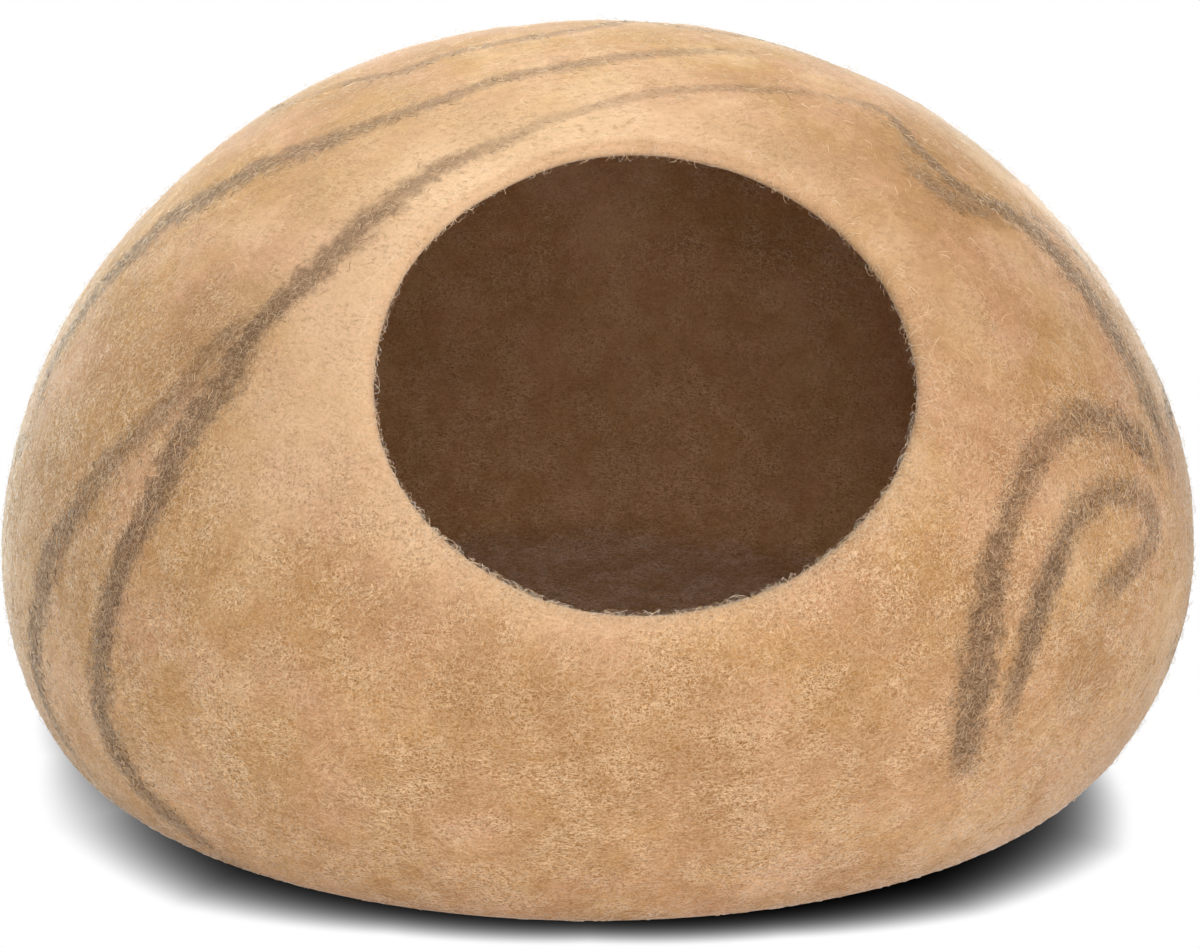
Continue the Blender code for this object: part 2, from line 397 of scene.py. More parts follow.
def seen_surface(pixels):
    """Points of the outer side under pixels of the view: each line of sight is followed until it is
    inside the form, then halved. A pixel just off the form is drawn in towards the view's middle."""
    middle = np.array(IMAGE_SIZE) / 2
    found = np.zeros((len(pixels), 3))
    missing = np.ones(len(pixels), bool)
    distances = np.linspace(VIEW_DISTANCE - SIGHT_REACH, VIEW_DISTANCE + SIGHT_REACH, SIGHT_STEPS)
    for draw_in in DRAWN_IN:
        offset = (pixels[missing] - middle) * draw_in / FOCAL_PIXELS
        lines = offset[:, :1] * view_right - offset[:, 1:] * view_up - view_back
        start = view_place + centring
        along = start + lines[:, None, :] * distances[None, :, None]
        inside = is_inside(along.reshape(-1, 3)).reshape(along.shape[:2])
        hit = inside.any(axis=1)
        first = np.argmax(inside, axis=1)[hit]
        near = distances[first - 1]
        distance = halve(near, distances[first], lambda d: ~is_inside(start + lines[hit] * d[:, None]))
        numbers = np.flatnonzero(missing)[hit]
        found[numbers] = start + lines[hit] * distance[:, None] - centring
        missing[numbers] = False
        if not missing.any():
            break
    return found[~missing]


def surface_round(places):
    """Points of the outer side by bearing, in degrees from +X towards +Y, and height: the reach from
    the upright axis to the form, by halving."""
    bearing = np.radians(places[:, 0])
    outward = np.stack([np.cos(bearing), np.sin(bearing), np.zeros(len(places))], axis=-1)
    start = np.zeros((len(places), 3))
    start[:, 2] = places[:, 1]
    reach = halve(
        np.zeros(len(places)), np.full(len(places), WIDTH),
        lambda distance: is_inside(start + outward * distance[:, None]),
    )
    return start + outward * reach[:, None] - centring


def route_lengths(line):
    """Distance along a line of points, from its first point."""
    return np.concatenate([[0.0], np.cumsum(np.linalg.norm(np.diff(line, axis=0), axis=1))])


def even_line(line):
    """The same line read at even steps of VEIN_STEP."""
    lengths = route_lengths(line)
    steps = np.arange(0.0, lengths[-1], VEIN_STEP)
    return np.stack([np.interp(steps, lengths, line[:, axis]) for axis in range(3)], axis=-1)


vein_lines = [
    (layer, fade, half_widths, strengths, even_line(to_surface(smooth_route(route))))
    for table, to_surface in ((SEEN_VEINS, seen_surface), (BACK_VEINS, surface_round))
    for layer, fade, half_widths, strengths, route in table.values()
]


def on_vein(values, share):
    """Values given at even steps along a vein, read at shares of its length."""
    return np.interp(share, np.linspace(0.0, 1.0, len(values)), values)


def vein_fields(points, normals):
    """For each layer, three numbers at each point: its place across the nearest vein in half widths,
    signed, its place along that vein in metres, and the vein's strength there, which is nothing
    outside the vein's band and fades at its ends. And the course of the strongest vein there."""
    fields = np.zeros((2, len(points), 3))
    courses = np.zeros((len(points), 3))
    for layer, fade, half_widths, strengths, line in vein_lines:
        reach = VEIN_BAND * max(half_widths) * MILLIMETRE
        near = np.all((points > line.min(axis=0) - reach) & (points < line.max(axis=0) + reach), axis=1)
        chosen = np.flatnonzero(near)
        course = unit_rows(np.gradient(line, axis=0))
        lengths = route_lengths(line)
        for part in np.array_split(chosen, max(1, len(chosen) // POINTS_AT_ONCE)):
            gap = points[part][:, None, :] - line[None, :, :]
            nearest = np.argmin(np.einsum("ijk,ijk->ij", gap, gap), axis=1)
            offset = gap[np.arange(len(part)), nearest]
            forward = course[nearest]
            along = np.einsum("ij,ij->i", offset, forward)
            aside = np.cross(normals[part], forward)
            distance = np.linalg.norm(offset - forward * along[:, None], axis=1)
            side = np.where(np.einsum("ij,ij->i", offset, aside) < 0.0, -1.0, 1.0)
            place = lengths[nearest] + along
            half_width = on_vein(half_widths, place / lengths[-1]) * MILLIMETRE
            across = side * distance / half_width
            ends = np.clip(np.minimum(place, lengths[-1] - place) / fade, 0.0, 1.0)
            band = np.clip((VEIN_BAND - np.abs(across)) / BAND_FADE, 0.0, 1.0)
            weight = on_vein(strengths, place / lengths[-1]) * band * ends
            strongest = weight > fields[:, part, 2].max(axis=0)
            courses[part[strongest]] = forward[strongest]
            stronger = weight > fields[layer][part, 2]
            fields[layer][part[stronger]] = np.stack([across, place, weight], axis=-1)[stronger]
    return fields, courses


surface_normals = grid_normals(rows)
outer_count = outer.shape[0] * COLUMNS
shell_fields = np.zeros((2, len(shell_points), 3))
shell_fields[:, :outer_count] = vein_fields(
    outer.reshape(-1, 3), surface_normals[:len(outer)].reshape(-1, 3))[0]
add_values(shell_mesh, "veins_first", shell_fields[0])
add_values(shell_mesh, "veins_second", shell_fields[1])

# How much paler nap there is: handling has raised it near the mouth's edge, most on its left.
NAP_WIDTH, NAP_WIDER_LEFT = 0.021, 0.013
NAP_DEPTH, NAP_DEEPER_LEFT = 0.6, 0.4
NAP_FALL = 1.3                      # exponent of its falling off
NAP_TURN = 0.35                     # how far from level its widest place is, in radians
from_rim = np.abs(row_places - (row_places[rim_start] + row_places[rim_end]) / 2)
leftward = -np.cos(columns + NAP_TURN)
nap_width = NAP_WIDTH + NAP_WIDER_LEFT * leftward
nap = np.exp(-((np.maximum(from_rim - WALL, 0.0)[:, None] / nap_width) ** NAP_FALL))
nap *= NAP_DEPTH + NAP_DEEPER_LEFT * leftward
add_values(shell_mesh, "nap", np.append(nap, [0.0, 0.0]))

# Patches of darker wool, and paler ones below zero: some placed in the view's pixels, with a radius
# in metres and a depth, and slow noise for the rest. Some paler ones, at the top and near the right
# edge, are painted highlight.
TONE_AND_HIGHLIGHT_PATCHES = (
    ((215, 300), 0.026, 0.8), ((150, 365), 0.022, 0.5), ((95, 350), 0.022, 0.4),
    ((75, 540), 0.030, 0.4), ((42, 470), 0.026, 0.5), ((1015, 300), 0.020, 0.15),
    ((950, 380), 0.020, 0.25), ((1105, 668), 0.026, 1.1), ((955, 560), 0.020, 0.3),
    ((600, 785), 0.026, 1.0), ((720, 775), 0.026, 0.85), ((545, 705), 0.024, 0.65),
    ((450, 715), 0.024, 0.65), ((830, 745), 0.026, 0.6), ((975, 720), 0.030, 0.85),
    ((900, 650), 0.020, 0.35), ((690, 672), 0.016, 0.35), ((850, 800), 0.018, 0.4),
    ((740, 860), 0.018, 0.3), ((250, 565), 0.020, -0.3), ((250, 770), 0.032, 0.5),
    ((400, 790), 0.022, 0.4), ((305, 360), 0.026, -0.4), ((395, 590), 0.020, 0.3),
    ((285, 455), 0.034, -0.15), ((450, 190), 0.024, -0.5), ((240, 235), 0.022, -0.4),
    ((640, 735), 0.012, -0.4), ((1085, 370), 0.020, -0.4), ((1000, 350), 0.014, -0.35),
    ((960, 835), 0.024, -0.5), ((505, 85), 0.024, -0.3), ((990, 165), 0.014, -0.7),
    ((1030, 196), 0.013, -0.8), ((1072, 238), 0.012, -0.8), ((1108, 285), 0.012, -0.8),
    ((1140, 345), 0.012, -0.8), ((1163, 405), 0.012, -0.7), ((948, 196), 0.010, 0.9),
    ((985, 214), 0.008, 0.7), ((1003, 700), 0.008, -0.5), ((1072, 572), 0.012, -0.4),
    ((1078, 692), 0.016, 0.5), ((1005, 392), 0.018, -0.4), ((1000, 236), 0.020, -0.45),
    ((235, 425), 0.022, -0.35), ((198, 570), 0.034, -0.3), ((300, 850), 0.030, -0.3),
    ((900, 820), 0.020, -0.3), ((205, 345), 0.014, -0.2), ((1176, 590), 0.020, -0.5))
FOOT_PAINTED_SHADE, FOOT_BAND = 0.35, 0.005                # painted shade: the felt is darker in a low band at its foot, next to the floor
SLOW_PATCHES = ((0.060, 0.36), (0.022, 0.42))       # cell and depth of the noise
PATCH_SEED = 50


def patches_and_painted_light(points):
    """How much darker the felt is coloured at each point: a bell round each placed patch, some of the
    paler ones painted highlight, slow noise, and a fading band of painted shade at the foot."""
    total = sum(depth * value_noise(points, cell, PATCH_SEED + number)
                for number, (cell, depth) in enumerate(SLOW_PATCHES))
    for pixel, radius, depth in TONE_AND_HIGHLIGHT_PATCHES:
        gap = points - seen_surface(np.array([pixel], float))
        total += depth * np.exp(-np.sum(gap ** 2, axis=1) / radius ** 2)
    return total + FOOT_PAINTED_SHADE * np.exp(-points[:, 2] / FOOT_BAND)


# The patches carry painted light besides the wool's tone: painted shade at the foot and painted highlight
# in some paler patches.
patches = patches_and_painted_light(rows.reshape(-1, 3)).reshape(rows.shape[:2])
add_values(shell_mesh, "patches", np.append(patches, [0.0, 0.0]))


def add(tree, kind, links=None, **settings):
    """A shader node with its settings, and with its inputs linked or set by name or number."""
    node = tree.nodes.new(kind)
    for name, value in settings.items():
        setattr(node, name, value)
    for key, value in (links or {}).items():
        if isinstance(value, bpy.types.NodeSocket):
            tree.links.new(value, node.inputs[key])
        else:
            node.inputs[key].default_value = value
    return node


def maths(tree, operation, first, second=0.0, clamp=False):
    """The result of a Math node."""
    links = {0: first, 1: second}
    return add(tree, "ShaderNodeMath", links, operation=operation, use_clamp=clamp).outputs[0]


def ranged(tree, value, low, high, to_low=0.0, to_high=1.0, smooth=False):
    """A value carried from one range to another, held at the ends."""
    kind = "SMOOTHSTEP" if smooth else "LINEAR"
    links = {"Value": value, 1: low, 2: high, 3: to_low, 4: to_high}
    return add(tree, "ShaderNodeMapRange", links, interpolation_type=kind).outputs[0]


def noise(tree, vector, scale, detail, roughness=0.5):
    """A Noise Texture node's value."""
    links = {"Vector": vector, "Scale": scale, "Detail": detail, "Roughness": roughness}
    return add(tree, "ShaderNodeTexNoise", links).outputs["Fac"]


def times(tree, value, *factors):
    """A value multiplied by each of the factors in turn."""
    for factor in factors:
        value = maths(tree, "MULTIPLY", value, factor)
    return value


def mixed(tree, share, first, second):
    """The colour that a Mix node makes of two colours or colour sockets."""
    links = {0: share, 6: first, 7: second}
    return add(tree, "ShaderNodeMix", links, data_type="RGBA").outputs[2]


def new_group(name, inputs, outputs):
    """An empty node group with named inputs and outputs, given as pairs of label and kind."""
    group = bpy.data.node_groups.new(name, "ShaderNodeTree")
    for in_out, sockets in (("INPUT", inputs), ("OUTPUT", outputs)):
        for label, kind in sockets:
            group.interface.new_socket(label, in_out=in_out, socket_type="NodeSocket" + kind)
    return group, group.nodes.new("NodeGroupInput").outputs, group.nodes.new("NodeGroupOutput").inputs


def colour(red, green, blue):
    """A linear colour from its usual 0 to 255 values."""
    linear = [((value / 255 + 0.055) / 1.055) ** 2.4 for value in (red, green, blue)]
    return (*linear, 1.0)


# Curly fibres: the places where smooth noise, warped by slower noise, crosses its middle value.
fibre_group, fibre_in, fibre_out = new_group(
    "curly_fibres", (("Vector", "Vector"), ("Fineness", "Float"), ("Thinness", "Float")),
    (("Lines", "Float"),))
scaled = add(
    fibre_group, "ShaderNodeVectorMath", {0: fibre_in["Vector"], 3: fibre_in["Fineness"]},
    operation="SCALE").outputs[0]
warp = add(fibre_group, "ShaderNodeTexNoise", {"Vector": scaled, "Scale": 0.45, "Detail": 1.0})
centred = add(
    fibre_group, "ShaderNodeVectorMath", {0: warp.outputs["Color"], 1: (0.5, 0.5, 0.5)},
    operation="SUBTRACT").outputs[0]
pushed = add(fibre_group, "ShaderNodeVectorMath", {0: centred, 3: 2.4}, operation="SCALE").outputs[0]
warped = add(fibre_group, "ShaderNodeVectorMath", {0: scaled, 1: pushed}, operation="ADD").outputs[0]
off_middle = maths(
    fibre_group, "ABSOLUTE", maths(fibre_group, "SUBTRACT", noise(fibre_group, warped, 1.0, 1.5), 0.5))
thinned = times(fibre_group, off_middle, fibre_in["Thinness"])
fibre_group.links.new(maths(fibre_group, "SUBTRACT", 1.0, thinned, clamp=True), fibre_out["Lines"])

TAN_GOLD = colour(189, 140, 87)
TAN_ROSE = colour(199, 147, 109)
OCHRE = colour(157, 111, 65)
GAP_BROWN = colour(116, 74, 36)
CREAM = colour(240, 200, 158)
NAP_ROSE = colour(244, 202, 162)
VEIN_DARK = colour(86, 61, 41)
VEIN_GREY = colour(180, 144, 112)

NAP_SHOWS = 0.75                    # how far each colours the felt where there is most of it
LARGE_GAPS_SHOW = 0.36
SMALL_GAPS_SHOW = 0.32
LINES_SHOW = 0.85
VEINS_SHOW = 0.95

# The wool's colour: gold and rose tan in clouds, darker ochre and paler patches, and a paler nap.
# The patches also carry painted shade at the foot and painted highlight at the top and right edge.
tint_group, tint_in, tint_out = new_group(
    "wool_tint", (("Vector", "Vector"), ("Nap", "Float"), ("Patches", "Float")), (("Color", "Color"),))
clouds = ranged(tint_group, noise(tint_group, tint_in["Vector"], 24.0, 2.0, 0.6), 0.42, 0.64)
ragged = ranged(tint_group, noise(tint_group, tint_in["Vector"], 70.0, 2.0, 0.65), 0.0, 1.0, -0.55, 0.55)
depth = maths(tint_group, "ADD", tint_in["Patches"], ragged)
darker_and_painted_shade = ranged(tint_group, depth, 0.0, 1.0, 0.0, 0.9)
paler_and_painted_highlight = ranged(tint_group, depth, 0.0, -1.0, 0.0, 0.7)
mottle = ranged(tint_group, noise(tint_group, tint_in["Vector"], 160.0, 2.0, 0.65), 0.42, 0.68, 0.0, 0.42)
ground = mixed(tint_group, clouds, TAN_GOLD, TAN_ROSE)
ground = mixed(tint_group, darker_and_painted_shade, ground, OCHRE)
ground = mixed(tint_group, mottle, ground, OCHRE)
ground = mixed(tint_group, paler_and_painted_highlight, ground, CREAM)
ground = mixed(tint_group, times(tint_group, tint_in["Nap"], NAP_SHOWS), ground, NAP_ROSE)
tint_group.links.new(ground, tint_out["Color"])


def vein_share(tree, attribute_name, fray):
    """How much of the vein wool shows: full at the vein's middle, thinning towards its sides, which
    are frayed by noise."""
    field = add(tree, "ShaderNodeAttribute", attribute_name=attribute_name)
    parts = add(tree, "ShaderNodeSeparateXYZ", {0: field.outputs["Vector"]})
    side = maths(tree, "ABSOLUTE", maths(tree, "ADD", parts.outputs[0], fray))
    return times(tree, ranged(tree, side, 0.3, 1.5, 1.0, 0.0, smooth=True), parts.outputs[2])


def fibre_lines(tree, vector, fineness, thinness):
    """The lines of the curly fibre group at one fineness, in fibres a metre."""
    links = {"Vector": vector, "Fineness": fineness, "Thinness": thinness}
    return add(tree, "ShaderNodeGroup", links, node_tree=fibre_group).outputs["Lines"]


def wool_colour(tree, place):
    """The wool's colour at a place, from the tint group and the mesh's nap and patches, with the
    painted shade and painted highlight that the patches carry.
    """
    links = {
        "Vector": place,
        "Nap": add(tree, "ShaderNodeAttribute", attribute_name="nap").outputs["Fac"],
        "Patches": add(tree, "ShaderNodeAttribute", attribute_name="patches").outputs["Fac"],
    }
    return add(tree, "ShaderNodeGroup", links, node_tree=tint_group).outputs["Color"]


wool = bpy.data.materials.new("felted_tan_wool")
wool.use_nodes = True
tree = wool.node_tree
shader = tree.nodes["Principled BSDF"]
place = add(tree, "ShaderNodeTexCoord").outputs["Object"]
stretched = add(tree, "ShaderNodeVectorMath", {0: place, 1: (1.0, 1.0, 3.2)}, operation="MULTIPLY")
combed = stretched.outputs[0]
level = add(tree, "ShaderNodeSeparateXYZ", {0: place}).outputs[2]
low_down = ranged(tree, level, 0.15, 0.07)
tint = wool_colour(tree, place)

# Curls and level strands show as pale lines, the strands mostly low down, with dark gaps between.
large_curls = fibre_lines(tree, place, 350.0, 30.0)
curls = maths(tree, "MAXIMUM", fibre_lines(tree, place, 620.0, 21.0), large_curls)
strands = maths(
    tree, "MAXIMUM", fibre_lines(tree, combed, 380.0, 23.0), fibre_lines(tree, combed, 210.0, 34.0))
light_lines = maths(
    tree, "MAXIMUM", times(tree, curls, ranged(tree, low_down, 0.0, 1.0, 1.0, 0.7)),
    times(tree, strands, ranged(tree, low_down, 0.0, 1.0, 0.2, 1.0)))
small_gaps = ranged(tree, noise(tree, place, 850.0, 1.0, 0.7), 0.50, 0.62)
large_gaps = ranged(tree, noise(tree, combed, 300.0, 2.0, 0.7), 0.50, 0.68)
fray = times(tree, maths(tree, "SUBTRACT", noise(tree, place, 140.0, 3.0, 0.8), 0.5), 2.4)
density = ranged(tree, noise(tree, place, 90.0, 1.0, 0.6), 0.30, 0.60, 0.85, 1.0)
veins = maths(
    tree, "MAXIMUM", vein_share(tree, "veins_first", fray), vein_share(tree, "veins_second", fray),
    clamp=True)
veins = times(tree, veins, density)

# The felt looks smoother towards the top, and in places.
smoothed = ranged(tree, level, 0.15, 0.24, 1.0, 0.25)
vein_smoothed = ranged(tree, level, 0.17, 0.30, 1.0, 0.45)
fleece = ranged(tree, noise(tree, place, 60.0, 1.0, 0.6), 0.38, 0.62, 0.65, 1.30)
roughened = times(tree, smoothed, fleece)
felt_colour = mixed(tree, times(tree, large_gaps, fleece, LARGE_GAPS_SHOW), tint, OCHRE)
felt_colour = mixed(tree, times(tree, small_gaps, SMALL_GAPS_SHOW, roughened), felt_colour, GAP_BROWN)
felt_colour = mixed(tree, times(tree, light_lines, roughened, LINES_SHOW), felt_colour, CREAM)
vein_low = ranged(tree, vein_smoothed, 0.0, 1.0, 0.35, 0.0)
vein_high = ranged(tree, vein_smoothed, 0.0, 1.0, 0.35, 0.85)
vein_wool = mixed(tree, ranged(tree, light_lines, 0.0, 1.0, vein_low, vein_high), VEIN_DARK, VEIN_GREY)
felt_colour = mixed(tree, times(tree, veins, VEINS_SHOW), felt_colour, vein_wool)
tree.links.new(felt_colour, shader.inputs["Base Color"])
relief = maths(tree, "SUBTRACT", large_curls, times(tree, small_gaps, 0.5))
relief = maths(tree, "SUBTRACT", relief, times(tree, large_gaps, 0.5))
relief = times(tree, relief, roughened)
bump = add(tree, "ShaderNodeBump", {"Height": relief, "Strength": 0.6, "Distance": 0.0005})
tree.links.new(bump.outputs[0], shader.inputs["Normal"])


def woolly(shader):
    """Gives a shader the matte, faintly glowing surface of wool."""
    shader.inputs["Roughness"].default_value = 0.95
    shader.inputs["Specular IOR Level"].default_value = 0.15
    shader.inputs["Sheen Weight"].default_value = 0.7
    shader.inputs["Sheen Roughness"].default_value = 0.2
    shader.inputs["Sheen Tint"].default_value = (1.0, 0.94, 0.86, 1.0)


woolly(shader)
shell_mesh.materials.append(wool)

# The bake layout: once round along U, and from the base's middle over the rim to the inside along V.
OUTER_SHARE = 0.68                  # of V, for the outer side, which shows most
POLE_V = 0.01                       # of V, for the fan at each pole
outside_v = POLE_V + row_places / row_places[rim_end] * (OUTER_SHARE - POLE_V)
inside_share = (row_places - row_places[rim_end]) / (row_places[-1] - row_places[rim_end])
inside_v = OUTER_SHARE + inside_share * (1 - POLE_V - OUTER_SHARE)
row_v = np.where(row_places <= row_places[rim_end], outside_v, inside_v)
fan_left = np.arange(COLUMNS) / COLUMNS
fan_middle = fan_left + 0.5 / COLUMNS
fan_right = fan_left + 1 / COLUMNS
left_u = np.tile(fan_left, len(rows) - 1)
right_u = np.tile(fan_right, len(rows) - 1)
low_v = np.repeat(row_v[:-1], COLUMNS)
high_v = np.repeat(row_v[1:], COLUMNS)
quad_uv = np.stack([left_u, low_v, right_u, low_v, right_u, high_v, left_u, high_v], axis=-1)
bottom_v, first_v, last_v, top_v = (np.full(COLUMNS, v) for v in (0.0, row_v[0], row_v[-1], 1.0))
first_fan_uv = np.stack([fan_right, first_v, fan_left, first_v, fan_middle, bottom_v], axis=-1)
last_fan_uv = np.stack([fan_left, last_v, fan_right, last_v, fan_middle, top_v], axis=-1)
bake_uv = np.concatenate([quad_uv.ravel(), first_fan_uv.ravel(), last_fan_uv.ravel()])
shell_mesh.uv_layers.new(name="OFBake").data.foreach_set("uv", bake_uv.astype(np.float32))

shell = bpy.data.objects.new("felt_wool_shell", shell_mesh)
bpy.context.scene.collection.objects.link(shell)
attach(shell, "root")
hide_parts("felt_shell")

# The lying fibres ---------------------------------------------------------------------------------
# Curly ends of the wool itself, rubbed up out of the felt and lying on it: pale, rosy and brown ones
# all over, and grey-brown ones along the veins. Each is a thin closed spindle, its tips in the felt.

FIBRE_KINDS = (
    # name, count, length range, half thickness range, own colours, their share, share on veins, seed
    ("pale_fibres", 11500, (0.0040, 0.0105), (0.00010, 0.00018),
     (colour(226, 182, 136), colour(255, 224, 186)), 0.60, 0.35, 61),
    ("rosy_fibres", 10500, (0.0030, 0.0085), (0.00010, 0.00017),
     (TAN_ROSE, colour(232, 188, 148)), 0.50, 0.45, 62),
    ("golden_fibres", 10500, (0.0030, 0.0080), (0.00010, 0.00017),
     (colour(170, 120, 72), colour(222, 174, 118)), 0.45, 0.50, 63),
    ("vein_fibres", 11500, (0.0025, 0.0060), (0.00009, 0.00017),
     (VEIN_DARK, colour(212, 180, 145)), 0.90, None, 64),
)
FIBRE_SLOPE = 0.25                  # they lie nearly level, rising to the right by this, in radians
SPREAD_HEIGHTS = (0.04, 0.16)       # their own turns spread wider between these heights
SPREAD = (0.3, 0.8)                 # from and to this much, in radians
VEIN_SPREAD = 1.1                   # and this much about a vein's course
LEVEL_TURN = np.array([0.06, 0.03, 1.0])    # their level directions lie round this upright
BOW, SWING = 0.24, 0.12             # how far a fibre bends one way, and both ways, in its lengths
TUFT_SIZES = ((0.034, 10), (0.012, 20))     # fibres lie thicker in tufts: sizes and seed steps
TUFT_EVEN, TUFT_WAVE = 0.55, 0.6
TUFT_RANGE = (0.1, 1.3)
DRIFT_SIZE = 0.030                  # they turn together over this distance
DRIFT_TURN = 0.9                    # by up to this much, in radians
DRIFT_SEED = 90
LOWEST_FIBRE = 0.0015
SMOOTHER_HEIGHTS, SMOOTHER = (0.14, 0.24), (1.0, 0.06)  # fewer lie on the tan wool near the top
FEWER_HEIGHTS, FEWER = (0.17, 0.30), (1.0, 0.4)         # and of all others
VEIN_BODY, BODY_FADE = 1.5, 1.2     # half widths that a vein's own fibres cover, and their fading
INNER_SHARE = 0.15                  # how thickly fibres lie inside, beside the outer side
FIBRE_LIFT = (0.00005, 0.00030)     # how high a fibre's middle arches off the felt
FIBRE_SINK = 0.00008                # how deep its tips are in it
FLOOR_GAP = 0.0002
RING_CORNERS = 3
CELL_MARGIN = 0.08                  # round each spindle in its cell of the bake layout
OWN_SHADING = 0.25                  # how much of a fibre's shading is its own form's


def on_grid(grid, row, column):
    """Values of a grid at places between its rows and columns, blended from the four points round
    each place. The columns close in a ring."""
    row = np.clip(row, 0.0, len(grid) - 1.001)
    low, left = np.floor(row).astype(int), np.floor(column).astype(int)
    upper, right_share = row - low, column - left
    if grid.ndim == 3:
        upper, right_share = upper[..., None], right_share[..., None]
    left, right = left % COLUMNS, (left + 1) % COLUMNS
    below = grid[low, left] * (1 - right_share) + grid[low, right] * right_share
    above = grid[low + 1, left] * (1 - right_share) + grid[low + 1, right] * right_share
    return below * (1 - upper) + above * upper


def scatter(count, cell_weights, random):
    """Random places on the grid: a cell by its weight, and an even place in it."""
    chances = np.cumsum(cell_weights.ravel())
    cells = np.searchsorted(chances, random.uniform(0.0, chances[-1], count))
    row, column = np.divmod(np.minimum(cells, cell_weights.size - 1), COLUMNS)
    return row + random.uniform(0.0, 1.0, count), column + random.uniform(0.0, 1.0, count)


def laid_paths(row, column, forward, along, aside):
    """Points on the felt at distances along and aside from places on its grid: the distances are
    turned into steps over rows and columns by the grid's own spacing there. And the normals."""
    numbers = np.arange(len(rows))
    column_step = on_grid(rows, row, column + 0.5) - on_grid(rows, row, column - 0.5)
    row_step = on_grid(rows, row + 0.5, column) - on_grid(rows, row - 0.5, column)
    normal = unit_rows(on_grid(surface_normals, row, column))
    side = np.cross(normal, forward)
    move = along[:, :, None] * forward[:, None, :] + aside[:, :, None] * side[:, None, :]
    by_column = np.einsum("ijk,ik->ij", move, column_step)
    by_row = np.einsum("ijk,ik->ij", move, row_step)
    column_square = np.sum(column_step ** 2, axis=1)[:, None]
    row_square = np.sum(row_step ** 2, axis=1)[:, None]
    both = np.sum(column_step * row_step, axis=1)[:, None]
    square = column_square * row_square - both ** 2
    columns_on = (row_square * by_column - both * by_row) / square
    rows_on = (column_square * by_row - both * by_column) / square
    spacing = np.interp(row, numbers[:-1] + 0.5, row_gaps)[:, None]
    places = np.interp(row, numbers, row_places)[:, None] + rows_on * spacing
    path_rows = np.interp(places, row_places, numbers)
    path_columns = column[:, None] + columns_on
    ups = unit_rows(on_grid(surface_normals, path_rows, path_columns))
    return on_grid(rows, path_rows, path_columns), ups


def spindles(paths, ups, half_widths):
    """Closed spindles along paths: one point at each tip, and between them a ring of three corners
    at each point of the path. Returns their points, quads and triangles, spindle by spindle."""
    count, length = paths.shape[:2]
    forwards = unit_rows(np.gradient(paths, axis=1))[:, 1:-1]
    sides = unit_rows(np.cross(forwards, ups[:, 1:-1]))
    tops = np.cross(sides, forwards)
    turns = (math.pi / 2 + np.arange(RING_CORNERS) * 2 * math.pi / RING_CORNERS)[:, None]
    spokes = np.cos(turns) * sides[:, :, None, :] + np.sin(turns) * tops[:, :, None, :]
    rings = paths[:, 1:-1, None, :] + half_widths[:, None, None, None] * spokes
    points = np.concatenate([paths[:, :1], rings.reshape(count, -1, 3), paths[:, -1:]], axis=1)
    ring_start = 1 + np.arange(length - 2)[:, None] * RING_CORNERS
    corner = np.arange(RING_CORNERS)
    here, beside = ring_start + corner, ring_start + (corner + 1) % RING_CORNERS
    quads = np.stack([here[:-1], here[1:], beside[1:], beside[:-1]], axis=-1).reshape(-1, 4)
    last = points.shape[1] - 1
    first_fan = np.stack([np.zeros(RING_CORNERS, int), here[0], beside[0]], axis=-1)
    last_fan = np.stack([np.full(RING_CORNERS, last), beside[-1], here[-1]], axis=-1)
    starts = (np.arange(count) * points.shape[1])[:, None, None]
    triangles = np.vstack([first_fan, last_fan])
    return points, (quads + starts).reshape(-1, 4), (triangles + starts).reshape(-1, 3)


def spindle_uv(count, length):
    """The bake layout of spindles: a square cell for each, its path along U and its ring along V."""
    across = math.ceil(math.sqrt(count))
    cell = np.stack(np.divmod(np.arange(count), across), axis=-1)[:, None, :]
    u = np.arange(length) / (length - 1)
    corner = np.arange(RING_CORNERS) / RING_CORNERS
    step = 1 / RING_CORNERS
    inner_size = 1 - 2 * CELL_MARGIN
    quads = [
        (point, edge) for first, second in zip(u[1:-2], u[2:-1]) for turn in corner
        for point, edge in ((first, turn), (second, turn), (second, turn + step), (first, turn + step))]
    first_fan = [
        (point, edge) for turn in corner
        for point, edge in ((u[0], turn + step / 2), (u[1], turn), (u[1], turn + step))]
    last_fan = [
        (point, edge) for turn in corner
        for point, edge in ((u[-1], turn + step / 2), (u[-2], turn + step), (u[-2], turn))]
    quad_uv = (cell + CELL_MARGIN + inner_size * np.array(quads)) / across
    fan_uv = (cell + CELL_MARGIN + inner_size * np.array(first_fan + last_fan)) / across
    return np.concatenate([quad_uv.ravel(), fan_uv.ravel()])


def fibre_material(name, darker, paler, own_share):
    """Loose wool of one kind: each fibre's tone lies between a darker and a paler colour, and the
    rest of its colour is the felt's below it."""
    material = bpy.data.materials.new(name)
    material.use_nodes = True
    tree = material.node_tree
    place = add(tree, "ShaderNodeTexCoord").outputs["Object"]
    tone = add(tree, "ShaderNodeAttribute", attribute_name="tone").outputs["Fac"]
    own = mixed(tree, tone, darker, paler)
    shader = tree.nodes["Principled BSDF"]
    tree.links.new(mixed(tree, own_share, wool_colour(tree, place), own), shader.inputs["Base Color"])
    woolly(shader)
    return material


